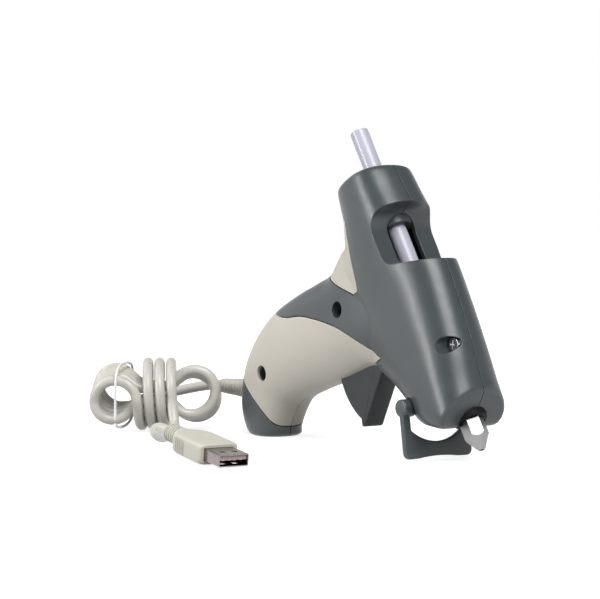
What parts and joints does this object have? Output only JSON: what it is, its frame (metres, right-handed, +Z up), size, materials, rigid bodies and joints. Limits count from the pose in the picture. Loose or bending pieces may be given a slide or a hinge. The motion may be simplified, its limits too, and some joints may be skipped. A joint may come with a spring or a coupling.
{
  "type": "hot glue gun",
  "caption": "Small corded hot glue gun with a pull trigger, feed carriage, hex nozzle, fold-out stand, open stick window and a bundled USB power cord.",
  "frame": {"origin": "on the table, under the middle of the gun's box without its cord", "axes": "+X forward, the way the nozzle leans; +Y to the user's left; +Z up from the table"},
  "size_m": [0.2024, 0.101, 0.123],
  "materials": {
    "body_grey": "satin moulded slate grey plastic",
    "panel_grey": "smooth moulded warm light grey plastic",
    "screw_steel": "plated steel",
    "nozzle_chrome": "plated, bright",
    "collar_black": "matt black heat-proof collar",
    "chamber_aluminium": "as cast",
    "heater_ceramic": null,
    "clip_steel": "bright drawn steel",
    "lead_white": "sleeved wire",
    "sleeve_rubber": "silicone",
    "guide_grey": "moulded plastic",
    "glue": "cloudy clear glue",
    "carriage_white": "moulded nylon",
    "trigger_grey": "satin moulded slate grey plastic",
    "stand_grey": "satin moulded slate grey plastic",
    "relief_grey": "soft moulded plastic",
    "cord_grey": "soft cord jacket",
    "tie_white": "coated wire",
    "plug_ivory": "moulded plastic",
    "plug_metal": "plated steel shell",
    "tongue_pale": "moulded plastic",
    "contact_gold": "gold-plated contact"
  },
  "bodies": {
    "body": {"right_shell": "body_grey", "left_shell": "body_grey", "right_grip_panel": "panel_grey", "left_grip_panel": "panel_grey", "right_tail_panel": "panel_grey", "left_tail_panel": "panel_grey", "case_screws": "screw_steel", "nozzle": "nozzle_chrome", "nozzle_collar": "collar_black", "melt_chamber": "chamber_aluminium", "heater_element": "heater_ceramic", "heater_clip": "clip_steel", "heater_leads": "lead_white", "inlet_sleeve": "sleeve_rubber", "stick_guide": "guide_grey", "feed_spring": "clip_steel", "trigger_pin": "clip_steel", "strain_relief": "relief_grey", "cord_lead": "cord_grey", "cord_hank": "cord_grey", "cord_tail": "cord_grey", "cord_tie": "tie_white", "plug_grip": "plug_ivory", "plug_shell": "plug_metal", "plug_tongue": "tongue_pale", "plug_contacts": "contact_gold"},
    "trigger": {"trigger": "trigger_grey"},
    "feed": {"feed_carriage": "carriage_white", "drive_pin": "clip_steel", "glue_stick": "glue"},
    "stand": {"stand": "stand_grey"}
  },
  "joints": [
    {"name": "trigger_pull", "type": "hinge", "parent": "body", "child": "trigger", "pos_m": [0.0192, 0, 0.037], "axis": [0, 1, 0], "range_deg": [0, 16], "stiffness_Nm_per_rad": 0.06, "springref_deg": -11.46},
    {"name": "feed_slide", "type": "slide", "parent": "body", "child": "feed", "axis": [0.5373, 0, -0.8434], "range_m": [0, 0.00514], "deforming": ["feed_spring"]},
    {"name": "stand_fold", "type": "hinge", "parent": "body", "child": "stand", "pos_m": [0.0442, 0, 0.019], "axis": [0, 1, 0], "range_deg": [0, 90]}
  ],
  "couplings": [
    {"joint": "trigger_pull", "follows": "feed_slide", "rad_per_m": 54.341}
  ]
}
